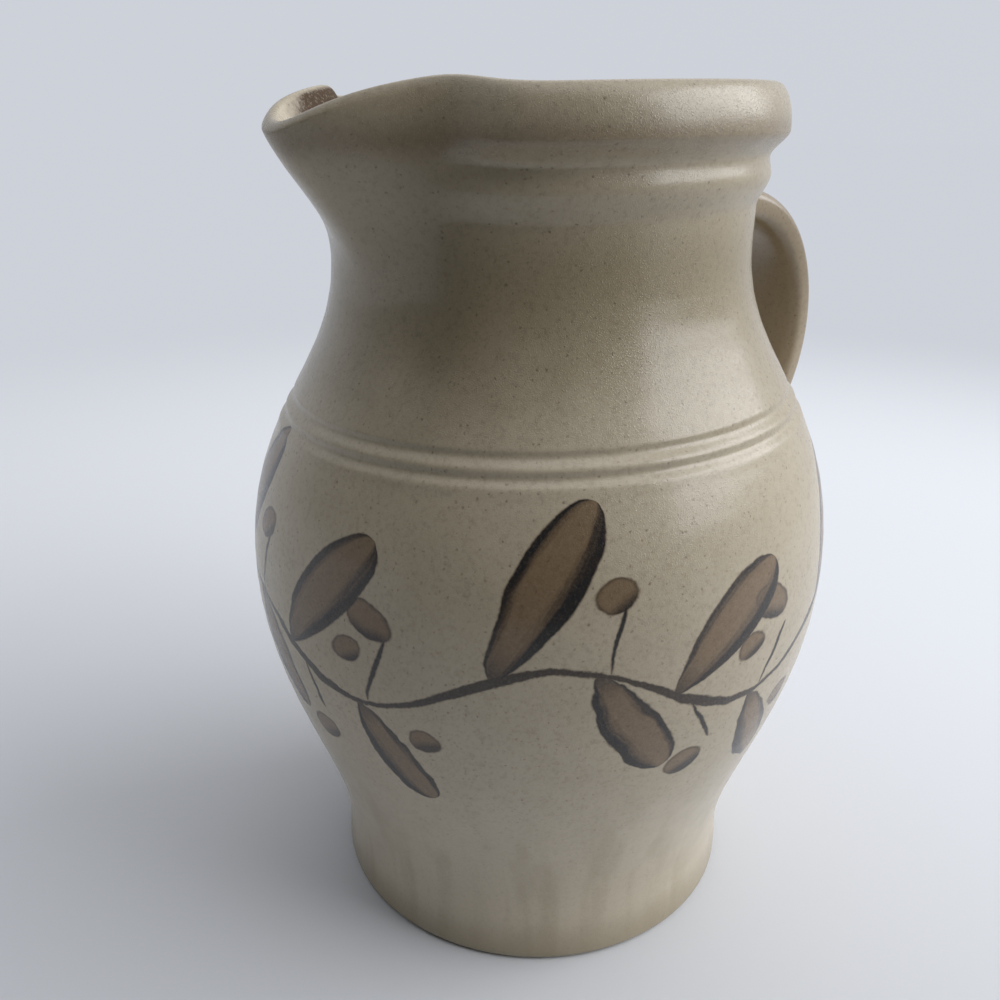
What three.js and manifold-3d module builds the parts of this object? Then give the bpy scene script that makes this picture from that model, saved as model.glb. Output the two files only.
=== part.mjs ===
// Stoneware pitcher: a wheel-thrown body with a lip pulled from its rim, and a pulled strap handle.
// Millimetres, +Z up. The origin is the middle of the flat base, the lip points along -X and the
// handle along +X. The handle is luted to the wall with a layer of slip at each end.

import * as THREE from 'three';
import { mergeVertices } from 'three/addons/utils/BufferGeometryUtils.js';
import Module from 'manifold-3d';

// Heights of the body's stretches, from the table up
const FOOT_HEIGHT = 11.2; // base to the waist above the foot
const LOWER_WALL_HEIGHT = 72; // waist to the widest line of the belly
const UPPER_WALL_HEIGHT = 67; // belly to the narrowest line of the neck
const NECK_LENGTH = 6.6; // straight neck under the collar
const COLLAR_HEIGHT = 9.3; // collar band, from its sloped underside to the crease
const RIM_HEIGHT = 13.1; // rolled rim, from the crease to its top

// Outside radii
const FOOT_RADIUS = 48;
const FOOT_ROUND = 1.6; // rounding of the edge that stands on the table
const WAIST_RADIUS = 47.8;
const BELLY_RADIUS = 64.5;
const NECK_RADIUS = 43.5;
const COLLAR_RADIUS = 45.7;
const RIM_RADIUS = 48.5;

// How far each curve of the wall runs upright before it bends
const WAIST_EASE = 21.6;
const BELLY_EASE_BELOW = 30;
const BELLY_EASE_ABOVE = 35;
const NECK_EASE = 24.5;

// Walls
const WALL = 5;
const FLOOR_THICKNESS = 7;
const FLOOR_ROUND = 10; // hollow corner between the floor and the wall inside
const RIM_WIDTH = 7.5; // rolled rim, from outside to inside
const RIM_FULLNESS = 0.88; // under 1, the roll is fuller than an ellipse
const COLLAR_SLOPE = 5; // height of the collar's sloped underside
const CREASE_DEPTH = 0.5;

// Two lines incised on the shoulder
const GROOVE_RISE = 35; // lower line, above the belly line
const GROOVE_SPACING = 2.9;
const GROOVE_HALF_WIDTH = 1.2;
const GROOVE_DEPTH = 0.55;

// Pouring lip, pulled out of the rim
const LIP_REACH = 14.5; // how far the wall is drawn out at the lip
const LIP_DIP = 4.9; // how far the lip's middle lies under the rim
const LIP_DROOP = 1; // extra drop of the lip's outer edge
const LIP_ANGLE = THREE.MathUtils.degToRad(19); // spread of the pull to each side, from the crease up
const PULL_ROOT_ANGLE = THREE.MathUtils.degToRad(42); // the same where the pull starts
const DIP_ANGLE = THREE.MathUtils.degToRad(11.5); // spread of the dip to each side
const PULL_HEIGHT = 46; // the pull starts this far under the top of the rim
const PULL_CURVE = 2.6; // above 1, the wall flares out most near the top
const LIP_THINNING = 0.26; // share of the rim's width that is pressed away at the lip
const FLANK_ANGLE = THREE.MathUtils.degToRad(27); // where the thumb and finger pressed
const FLANK_SPREAD = THREE.MathUtils.degToRad(12);
const FLANK_PRESS = 1.5;
const FLANK_RISE = 1.7;
const COLLAR_FADE_ANGLE = THREE.MathUtils.degToRad(20); // the collar's underside fades out here
const RIM_FADE_ANGLE = THREE.MathUtils.degToRad(40); // and the rim's roll here
const FADE_SPREAD = THREE.MathUtils.degToRad(20); // both are whole this much further round

// The rings above the belly lean a little, as on hand-thrown work, up towards the handle
const LEAN = 0.028; // rise for each millimetre towards the handle
const LEAN_DROP = 24; // the lean sets in this far under the belly line

// Strap handle
const UPPER_ROOT_DROP = 3.6; // middle of the upper end, under the collar
const LOWER_ROOT_RISE = 10.5; // middle of the lower end, above the belly line
const UPPER_ARM = 46.5; // reach of the curve's upper control point
const LOWER_ARM = 32.5; // reach of the curve's lower control point
const ARM_ANGLE = THREE.MathUtils.degToRad(13); // both ends leave the wall rising at this angle
const STRAP_WIDTH = 25;
const STRAP_THICKNESS = 9;
const STRAP_TAPER = 0.16; // share of its size that the strap loses towards the lower end
const ROOT_FLARE = 2.2; // swelling where the ends are pressed on
const ROOT_FLARE_LENGTH = 7;

// Slip joints
const SLIP_THICKNESS = 1.2;
const SLIP_BEAD = 1; // the slip squeezed out round the strap's end
const JOINT_GAP = 0.3;

// Facets
const RING_SEGMENTS = 60;
const RIM_START = THREE.MathUtils.degToRad(-62); // where the roll leaves the crease
const RIM_STEPS = 11;
const CORNER_STEPS = 4;
const STRAP_SIDES = 24;
const STRAP_STEPS = 22;
const HALVINGS = 40; // steps of the search for a curve's radius
const SAME_POINT = 1e-4; // vertices closer than this are one

// Stations that follow from the sizes above
const BELLY_LINE = FOOT_HEIGHT + LOWER_WALL_HEIGHT;
const NECK_LINE = BELLY_LINE + UPPER_WALL_HEIGHT;
const COLLAR_LINE = NECK_LINE + NECK_LENGTH;
const CREASE_LINE = COLLAR_LINE + COLLAR_HEIGHT;
const RIM_TOP = CREASE_LINE + RIM_HEIGHT;
const GROOVE_LINES = [BELLY_LINE + GROOVE_RISE, BELLY_LINE + GROOVE_RISE + GROOVE_SPACING];
const RIM_MIDDLE_RADIUS = RIM_RADIUS - RIM_WIDTH / 2;
const RIM_MIDDLE_LINE = RIM_TOP - RIM_HEIGHT / 2;
const MOUTH_RADIUS = RIM_RADIUS - RIM_WIDTH;

const { clamp, lerp, smoothstep } = THREE.MathUtils;

const LOWER_WALL = new THREE.CubicBezierCurve(
  new THREE.Vector2(WAIST_RADIUS, FOOT_HEIGHT),
  new THREE.Vector2(WAIST_RADIUS, FOOT_HEIGHT + WAIST_EASE),
  new THREE.Vector2(BELLY_RADIUS, BELLY_LINE - BELLY_EASE_BELOW),
  new THREE.Vector2(BELLY_RADIUS, BELLY_LINE),
);
const UPPER_WALL = new THREE.CubicBezierCurve(
  new THREE.Vector2(BELLY_RADIUS, BELLY_LINE),
  new THREE.Vector2(BELLY_RADIUS, BELLY_LINE + BELLY_EASE_ABOVE),
  new THREE.Vector2(NECK_RADIUS, NECK_LINE - NECK_EASE),
  new THREE.Vector2(NECK_RADIUS, NECK_LINE),
);

// Radius of a wall curve at a height, found by halving
function curveRadius(curve, height) {
  let low = 0;
  let high = 1;
  for (let step = 0; step < HALVINGS; step += 1) {
    const middle = (low + high) / 2;
    if (curve.getPoint(middle).y < height) low = middle;
    else high = middle;
  }
  return curve.getPoint(low).x;
}

// Outside radius of the plain wall, without lines, collar and rim
function wallRadius(height) {
  if (height <= FOOT_HEIGHT) return lerp(FOOT_RADIUS, WAIST_RADIUS, smoothstep(height, 0, FOOT_HEIGHT));
  if (height <= BELLY_LINE) return curveRadius(LOWER_WALL, height);
  if (height <= NECK_LINE) return curveRadius(UPPER_WALL, height);
  return NECK_RADIUS;
}

// Outside radius up to the crease, with the incised lines and the collar
function outsideRadius(height) {
  let radius = wallRadius(height);
  for (const line of GROOVE_LINES) {
    const across = (height - line) / GROOVE_HALF_WIDTH;
    if (Math.abs(across) < 1) radius -= GROOVE_DEPTH * Math.cos((across * Math.PI) / 2) ** 2;
  }
  const onto = clamp((height - COLLAR_LINE) / COLLAR_SLOPE, 0, 1);
  return radius + (COLLAR_RADIUS - NECK_RADIUS) * Math.sin((onto * Math.PI) / 2);
}

// Inside radius, opening a little from the neck to the mouth
function insideRadius(height) {
  const opening = smoothstep(height, NECK_LINE, RIM_MIDDLE_LINE);
  return lerp(wallRadius(height) - WALL, MOUTH_RADIUS, opening);
}

// Heights between two lines, both ends left out
function between(low, high, count) {
  return Array.from({ length: count }, (_, step) => lerp(low, high, (step + 1) / (count + 1)));
}

// Outside outline from the table to the crease, pushed out by an offset
function outsideOutline(offset) {
  const [lower, upper] = GROOVE_LINES;
  const halfGroove = GROOVE_HALF_WIDTH / 2;
  const grooves = GROOVE_LINES.flatMap((line) => [line - halfGroove, line, line + halfGroove]);
  const edges = [lower - GROOVE_HALF_WIDTH, (lower + upper) / 2, upper + GROOVE_HALF_WIDTH];
  const heights = [
    ...between(FOOT_ROUND, FOOT_HEIGHT, 1),
    FOOT_HEIGHT,
    ...between(FOOT_HEIGHT, BELLY_LINE, 7),
    BELLY_LINE,
    ...between(BELLY_LINE, edges[0], 4),
    ...[...grooves, ...edges].sort((a, b) => a - b),
    ...between(edges[2], NECK_LINE, 4),
    NECK_LINE,
    COLLAR_LINE,
    ...between(COLLAR_LINE, COLLAR_LINE + COLLAR_SLOPE, 3),
    COLLAR_LINE + COLLAR_SLOPE,
    CREASE_LINE - CREASE_DEPTH,
  ];
  return heights.map((height) => new THREE.Vector2(outsideRadius(height) + offset, height));
}

// Rounded edge of the foot
function footOutline(offset) {
  const points = [];
  for (const turn of [0, 0.5, 1]) {
    const angle = (turn * Math.PI) / 2;
    const radius = FOOT_RADIUS - FOOT_ROUND + FOOT_ROUND * Math.sin(angle);
    points.push(new THREE.Vector2(radius + offset, FOOT_ROUND - FOOT_ROUND * Math.cos(angle)));
  }
  return points;
}

// Share of an ellipse's axis, drawn out to a fuller roll
function fuller(share) {
  return Math.sign(share) * Math.abs(share) ** RIM_FULLNESS;
}

// Rolled rim, from the crease over the top to its inner side
function rimOutline() {
  const points = [new THREE.Vector2(COLLAR_RADIUS - CREASE_DEPTH, CREASE_LINE)];
  for (let step = 0; step <= RIM_STEPS; step += 1) {
    const angle = lerp(RIM_START, Math.PI, step / RIM_STEPS);
    const radius = RIM_MIDDLE_RADIUS + (RIM_WIDTH / 2) * fuller(Math.cos(angle));
    points.push(new THREE.Vector2(radius, RIM_MIDDLE_LINE + (RIM_HEIGHT / 2) * fuller(Math.sin(angle))));
  }
  return points;
}

// Inside of the wall, from the rim down to the floor
function insideOutline() {
  const bottom = FLOOR_THICKNESS + FLOOR_ROUND;
  const heights = [
    ...between(NECK_LINE, RIM_MIDDLE_LINE, 3).reverse(),
    NECK_LINE,
    ...between(BELLY_LINE, NECK_LINE, 6).reverse(),
    BELLY_LINE,
    ...between(bottom, BELLY_LINE, 4).reverse(),
    bottom,
  ];
  const points = heights.map((height) => new THREE.Vector2(insideRadius(height), height));
  const corner = insideRadius(bottom) - FLOOR_ROUND;
  for (let step = 1; step <= CORNER_STEPS; step += 1) {
    const angle = ((step / CORNER_STEPS) * Math.PI) / 2;
    const height = bottom - FLOOR_ROUND * Math.sin(angle);
    points.push(new THREE.Vector2(corner + FLOOR_ROUND * Math.cos(angle), height));
  }
  points.push(new THREE.Vector2(0, FLOOR_THICKNESS));
  return points;
}

// Turn an outline about the upright axis
function turned(outline) {
  return new THREE.LatheGeometry(outline, RING_SEGMENTS).rotateX(Math.PI / 2);
}

// Move every vertex of a geometry by a rule that changes it in place
function moveVertices(geometry, rule) {
  const position = geometry.getAttribute('position');
  const point = new THREE.Vector3();
  for (let index = 0; index < position.count; index += 1) {
    rule(point.fromBufferAttribute(position, index));
    position.setXYZ(index, point.x, point.y, point.z);
  }
  return geometry;
}

// Bell curve of an angle: 1 at zero, falling off within the spread
function bell(angle, spread) {
  return Math.exp(-((angle / spread) ** 2));
}

// Radius where the rim is pressed smooth and thin: no collar, no crease and a narrower roll
function pressedRadius(radius, height) {
  const pressedAway = LIP_THINNING * RIM_WIDTH;
  if (height >= RIM_MIDDLE_LINE) return radius - pressedAway * ((radius - MOUTH_RADIUS) / RIM_WIDTH);
  if (radius < insideRadius(height) + WALL / 2) return radius;
  const onto = smoothstep(height, NECK_LINE, RIM_MIDDLE_LINE);
  return lerp(wallRadius(height), RIM_RADIUS - pressedAway, onto);
}

// Draw the lip out of the rim: smooth and thin the rim there, pull it out and let it dip
function pullLip(point) {
  const start = RIM_TOP - PULL_HEIGHT;
  if (point.z <= start) return;
  const radius = Math.hypot(point.x, point.y);
  const side = Math.abs(Math.atan2(point.y, -point.x));
  const along = (point.z - start) / PULL_HEIGHT;
  const flare = along ** PULL_CURVE;
  const spread = lerp(PULL_ROOT_ANGLE, LIP_ANGLE, smoothstep(point.z, start, CREASE_LINE));
  const lip = bell(side, spread);
  const flank = bell(side - FLANK_ANGLE, FLANK_SPREAD);

  const fadeAngle = lerp(COLLAR_FADE_ANGLE, RIM_FADE_ANGLE, smoothstep(point.z, COLLAR_LINE, RIM_TOP));
  const smoothed = 1 - smoothstep(side, fadeAngle, fadeAngle + FADE_SPREAD);
  const thinned = lerp(radius, pressedRadius(radius, point.z), smoothed);

  const moved = thinned + flare * (LIP_REACH * lip - FLANK_PRESS * flank);
  const outward = clamp((radius - MOUTH_RADIUS) / RIM_WIDTH, 0, 1);
  point.x *= moved / radius;
  point.y *= moved / radius;
  point.z += along * (FLANK_RISE * flank - LIP_DIP * bell(side, DIP_ANGLE));
  point.z -= LIP_DROOP * lip * flare * outward;
}

// Lean the rings above the belly towards the handle
function lean(point) {
  point.z += LEAN * point.x * smoothstep(point.z, BELLY_LINE - LEAN_DROP, GROOVE_LINES[0]);
}

// Handle's centre line: it leaves both walls square to the axis and rising, from the middle of the wall
function handlePath() {
  const top = COLLAR_LINE - UPPER_ROOT_DROP;
  const bottom = BELLY_LINE + LOWER_ROOT_RISE;
  const rise = new THREE.Vector3(Math.cos(ARM_ANGLE), 0, Math.sin(ARM_ANGLE));
  const upper = new THREE.Vector3(wallRadius(top) - WALL / 2, 0, top);
  const lower = new THREE.Vector3(wallRadius(bottom) - WALL / 2, 0, bottom);
  return new THREE.CubicBezierCurve3(
    upper,
    upper.clone().addScaledVector(rise, UPPER_ARM),
    lower.clone().addScaledVector(rise, LOWER_ARM),
    lower,
  );
}

// Strap of oval section bent along the handle's centre line, larger all round by a margin
function strapSolid(margin) {
  const path = handlePath();
  const length = path.getLength();
  const strap = new THREE.CylinderGeometry(1, 1, 1, STRAP_SIDES, STRAP_STEPS);
  return moveVertices(strap, (point) => {
    const share = clamp(0.5 - point.y, 0, 1);
    const centre = path.getPointAt(share);
    const tangent = path.getTangentAt(share);
    const fromEnd = Math.min(share, 1 - share) * length;
    const swelling = ROOT_FLARE * Math.exp(-((fromEnd / ROOT_FLARE_LENGTH) ** 2)) + margin;
    const taper = 1 - STRAP_TAPER * share;
    const out = point.x * ((STRAP_THICKNESS / 2) * taper + swelling);
    const across = -point.z * ((STRAP_WIDTH / 2) * taper + swelling);
    point.set(centre.x - tangent.z * out, across, centre.z + tangent.x * out);
  });
}

const wasm = await Module();
wasm.setup();

// Closed solid of a geometry, with its shared vertices merged and empty triangles left out
function solidOf(geometry) {
  const bare = geometry.clone();
  bare.deleteAttribute('normal');
  bare.deleteAttribute('uv');
  const merged = mergeVertices(bare, SAME_POINT);
  const triangles = [];
  const corners = merged.getIndex().array;
  for (let start = 0; start < corners.length; start += 3) {
    const [a, b, c] = corners.slice(start, start + 3);
    if (a !== b && b !== c && c !== a) triangles.push(a, b, c);
  }
  return new wasm.Manifold(new wasm.Mesh({
    numProp: 3,
    vertProperties: new Float32Array(merged.getAttribute('position').array),
    triVerts: new Uint32Array(triangles),
  }));
}

// Geometry of a solid
function geometryOf(solid) {
  const mesh = solid.getMesh();
  const geometry = new THREE.BufferGeometry();
  geometry.setAttribute('position', new THREE.BufferAttribute(new Float32Array(mesh.vertProperties), 3));
  geometry.setIndex(new THREE.BufferAttribute(new Uint32Array(mesh.triVerts), 1));
  return geometry;
}

// Filled shape of the body's outside up to the crease, pushed out by an offset
function outsideSolid(offset) {
  const outline = [
    new THREE.Vector2(0, 0),
    ...footOutline(offset),
    ...outsideOutline(offset),
    new THREE.Vector2(0, CREASE_LINE - CREASE_DEPTH),
  ];
  return solidOf(turned(outline));
}

// Named mesh with its finish, leant as the body is
function piece(name, geometry, finish) {
  const leant = moveVertices(geometry, lean);
  leant.computeVertexNormals();
  const mesh = new THREE.Mesh(leant, new THREE.MeshStandardMaterial(finish));
  mesh.name = name;
  return mesh;
}

// Wheel-thrown body with its pulled lip
function thrownBody(finish) {
  const outline = [
    new THREE.Vector2(0, 0),
    ...footOutline(0),
    ...outsideOutline(0),
    ...rimOutline(),
    ...insideOutline(),
  ];
  return piece('thrown_body', moveVertices(turned(outline), pullLip), finish);
}

// Strap handle, cut back to the slip at both ends
function handleStrap(finish) {
  const seat = outsideSolid(JOINT_GAP + SLIP_THICKNESS + JOINT_GAP);
  return piece('handle_strap', geometryOf(solidOf(strapSolid(0)).subtract(seat)), finish);
}

// Layers of slip between the wall and the strap's two ends
function slipJoints(finish) {
  const layer = outsideSolid(JOINT_GAP + SLIP_THICKNESS).subtract(outsideSolid(JOINT_GAP));
  const ends = solidOf(strapSolid(SLIP_BEAD)).intersect(layer).decompose();
  const [lower, upper] = ends.sort((a, b) => a.boundingBox().min[2] - b.boundingBox().min[2]);
  return [
    piece('upper_slip_joint', geometryOf(upper), finish),
    piece('lower_slip_joint', geometryOf(lower), finish),
  ];
}

const GLAZED_CLAY = { color: 0xa39a80, roughness: 0.45, metalness: 0 };
const SLIP = { color: 0x8d8266, roughness: 0.5, metalness: 0 };

const pitcher = new THREE.Group();
pitcher.add(thrownBody(GLAZED_CLAY), handleStrap(GLAZED_CLAY), ...slipJoints(SLIP));

export default pitcher;
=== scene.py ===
"""Looks of a wheel-thrown stoneware pitcher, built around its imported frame.

Metres, +Z up. The origin is the middle of the flat base, the lip points along -X and the handle along +X.
The body and the strap follow rules, so Geometry Nodes make them. The slip round the strap's ends is a mesh.
Finishes count in millimetres on the piece.
"""

import logging
import math
from dataclasses import dataclass
from enum import Enum
from typing import Any, Optional, Union

import bpy
import numpy as np
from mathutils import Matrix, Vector


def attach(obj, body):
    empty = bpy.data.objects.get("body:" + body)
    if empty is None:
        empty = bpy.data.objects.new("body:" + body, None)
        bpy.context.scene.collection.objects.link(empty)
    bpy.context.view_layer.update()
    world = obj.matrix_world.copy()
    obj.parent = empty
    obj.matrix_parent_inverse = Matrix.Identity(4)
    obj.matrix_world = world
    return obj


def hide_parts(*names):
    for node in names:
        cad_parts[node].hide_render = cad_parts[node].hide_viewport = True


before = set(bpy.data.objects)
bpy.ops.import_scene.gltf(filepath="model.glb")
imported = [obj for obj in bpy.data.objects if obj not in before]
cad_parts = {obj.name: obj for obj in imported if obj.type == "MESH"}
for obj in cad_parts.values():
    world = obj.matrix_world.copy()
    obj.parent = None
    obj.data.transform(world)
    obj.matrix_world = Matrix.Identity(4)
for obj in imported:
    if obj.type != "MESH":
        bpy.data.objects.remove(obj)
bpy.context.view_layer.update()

LOG = logging.getLogger("pitcher")

Colour = tuple[float, float, float]
Operand = Union["Value", float]
Span = tuple[float, float]

ROOT_BODY = "root"
INSIDE = "inside"  # attribute of the body: 0 outside, 1 well inside
FULL_TURN = 2 * math.pi
MM_PER_METRE = 1000.0
OPAQUE = 1.0
MERGE_DISTANCE = 1e-7
CURVE_STEPS = 400


class Slot(Enum):
    """Material slots of the record."""

    BODY = "glazed_body"
    HANDLE = "glazed_handle"
    SLIP = "luting_slip"


class Side(Enum):
    """Side of the painted stem that a stroke grows on."""

    ABOVE = 1.0
    BELOW = -1.0


@dataclass(frozen=True)
class Pattern:
    """Noise pattern: repeats in a unit of length, layers of detail and the strength of each next layer."""

    scale: float
    detail: float = 2.0
    roughness: float = 0.5


@dataclass(frozen=True)
class Rise:
    """Smooth rise between two values of something, up to a strength."""

    low: float
    high: float
    strength: float = 1.0


class Value:
    """Output of a node, with arithmetic that adds Math nodes to the same tree."""

    def __init__(self, nodes: "Nodes", socket: bpy.types.NodeSocket) -> None:
        """Keep the tree's writer and the socket."""
        self.nodes = nodes
        self.socket = socket

    def math(self, operation: str, *others: Operand) -> "Value":
        """Math node that has this value first."""
        return self.nodes.math(operation, self, *others)

    def output(self, name: str) -> "Value":
        """Another output of the same node."""
        return Value(self.nodes, self.socket.node.outputs[name])

    def __add__(self, other: Operand) -> "Value":
        """Sum."""
        return self.math("ADD", other)

    def __sub__(self, other: Operand) -> "Value":
        """Difference."""
        return self.math("SUBTRACT", other)

    def __rsub__(self, other: Operand) -> "Value":
        """Difference from a number on the left."""
        return self.nodes.math("SUBTRACT", other, self)

    def __mul__(self, other: Operand) -> "Value":
        """Product."""
        return self.math("MULTIPLY", other)

    __radd__, __rmul__ = __add__, __mul__

    def __truediv__(self, other: Operand) -> "Value":
        """Quotient."""
        return self.math("DIVIDE", other)

    def __pow__(self, other: Operand) -> "Value":
        """Power."""
        return self.math("POWER", other)

    def __abs__(self) -> "Value":
        """Size without its sign."""
        return self.math("ABSOLUTE")

    def __neg__(self) -> "Value":
        """The value with its sign changed."""
        return self.math("MULTIPLY", -1.0)

    def floor(self) -> "Value":
        """Whole part, rounded down."""
        return self.math("FLOOR")

    def sine(self) -> "Value":
        """Sine of an angle."""
        return self.math("SINE")

    def cosine(self) -> "Value":
        """Cosine of an angle."""
        return self.math("COSINE")

    def least(self, other: Operand) -> "Value":
        """The smaller of two values."""
        return self.math("MINIMUM", other)

    def most(self, other: Operand) -> "Value":
        """The larger of two values."""
        return self.math("MAXIMUM", other)

    def kept(self, low: float, high: float) -> "Value":
        """The value, kept between two limits."""
        return self.most(low).least(high)

    def smooth(self, low: Operand, high: Operand) -> "Value":
        """Smooth step from 0 at low to 1 at high, where low lies under high."""
        settings = {"interpolation_type": "SMOOTHSTEP"}
        return self.nodes.add("ShaderNodeMapRange", settings, {0: self, 1: low, 2: high})

    def rise(self, rise: Rise) -> "Value":
        """Smooth rise from 0 to its strength."""
        return self.smooth(rise.low, rise.high) * rise.strength

    def fall(self, rise: Rise) -> "Value":
        """Smooth fall from the strength of a rise to 0."""
        return (1.0 - self.smooth(rise.low, rise.high)) * rise.strength

    def swing(self, strength: float) -> "Value":
        """Noise from 0 to 1 turned into a swing about zero."""
        return (self - 0.5) * strength

    def fuller(self, power: float) -> "Value":
        """Power of the size, with the sign kept."""
        return self.math("SIGN") * abs(self) ** power

    def bell(self, spread: Operand) -> "Value":
        """Bell curve: 1 at zero, falling off within the spread."""
        share = self / spread
        return (share * share * -1.0).math("EXPONENT")

    def towards(self, other: Operand, share: Operand) -> "Value":
        """Straight mix of two values."""
        return self + (other - self) * share


class Nodes:
    """Writer of a node tree, for shaders and for geometry alike."""

    def __init__(self, tree: bpy.types.NodeTree) -> None:
        """Start with an empty tree."""
        self.tree = tree
        tree.nodes.clear()

    def add(
        self,
        kind: str,
        settings: Optional[dict[str, Any]] = None,
        sockets: Optional[dict[Union[int, str], Any]] = None,
        output: Union[int, str] = 0,
    ) -> Value:
        """Add a node.

        Args:
            kind: The node's type name.
            settings: Properties of the node, set before its sockets.
            sockets: Values or links of its inputs, by name or place.
            output: The output that is handed on.

        Returns:
            The chosen output, or the first input of a node without outputs.
        """
        node = self.tree.nodes.new(kind)
        for name, setting in (settings or {}).items():
            setattr(node, name, setting)
        for key, value in (sockets or {}).items():
            if isinstance(value, Value):
                self.tree.links.new(value.socket, node.inputs[key])
            else:
                node.inputs[key].default_value = value
        return Value(self, node.outputs[output]) if node.outputs else Value(self, node.inputs[0])

    def math(self, operation: str, *operands: Operand) -> Value:
        """Math node of an operation."""
        return self.add("ShaderNodeMath", {"operation": operation}, dict(enumerate(operands)))

    def mix(self, share: Operand, first: Any, second: Any) -> Value:
        """Mix of two colours, whose sockets follow those for numbers and vectors."""
        colours = {6: rgba(first), 7: rgba(second)}
        return self.add("ShaderNodeMix", {"data_type": "RGBA"}, {0: share, **colours}, 2)

    def combine(self, x: Operand, y: Operand, z: Operand) -> Value:
        """Vector of three values."""
        return self.add("ShaderNodeCombineXYZ", None, {0: x, 1: y, 2: z})

    def separate(self, vector: Value) -> tuple[Value, Value, Value]:
        """The three values of a vector."""
        parts = self.add("ShaderNodeSeparateXYZ", None, {0: vector})
        return parts, parts.output("Y"), parts.output("Z")

    def noise(self, vector: Value, pattern: Pattern) -> Value:
        """Noise from 0 to 1, with a fixed pattern."""
        strengths = {"Scale": pattern.scale, "Detail": pattern.detail, "Roughness": pattern.roughness}
        return self.add("ShaderNodeTexNoise", {"noise_dimensions": "3D"}, {"Vector": vector, **strengths})

    def facing(self, vector: Value, direction: Vector) -> Value:
        """Cosine of the angle between a unit vector and a direction."""
        sockets = {0: vector, 1: tuple(direction)}
        return self.add("ShaderNodeVectorMath", {"operation": "DOT_PRODUCT"}, sockets, "Value")


def rgba(colour: Any) -> Any:
    """Colour with its alpha, or a link as it is."""
    return colour if isinstance(colour, Value) else (*colour, OPAQUE)


def node_material(name: str) -> tuple[bpy.types.Material, Nodes]:
    """New material with an empty tree.

    Args:
        name: Name of the material.

    Returns:
        The material, and the writer of its tree.
    """
    material = bpy.data.materials.new(name)
    material.use_nodes = True
    return material, Nodes(material.node_tree)


def linked(name: str, data: bpy.types.ID) -> bpy.types.Object:
    """New object in the scene.

    Args:
        name: Name of the object.
        data: Its mesh, lamp or camera.

    Returns:
        The object.
    """
    made = bpy.data.objects.new(name, data)
    bpy.context.scene.collection.objects.link(made)
    return made


def labelled(sizes: Any, *names: str) -> dict[str, float]:
    """Sizes under the labels of a tree's inputs, such as Lip reach for lip_reach."""
    return {name.replace("_", " ").capitalize(): getattr(sizes, name) for name in names}


def smoothstep(value: np.ndarray, low: float, high: float) -> np.ndarray:
    """Smooth step from 0 at low to 1 at high."""
    share = np.clip((value - low) / (high - low), 0, 1)
    return share * share * (3 - 2 * share)


def full_power(share: np.ndarray, power: float) -> np.ndarray:
    """Power of the size, with the sign kept. Under 1 it makes an oval fuller."""
    return np.sign(share) * np.abs(share) ** power


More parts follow.
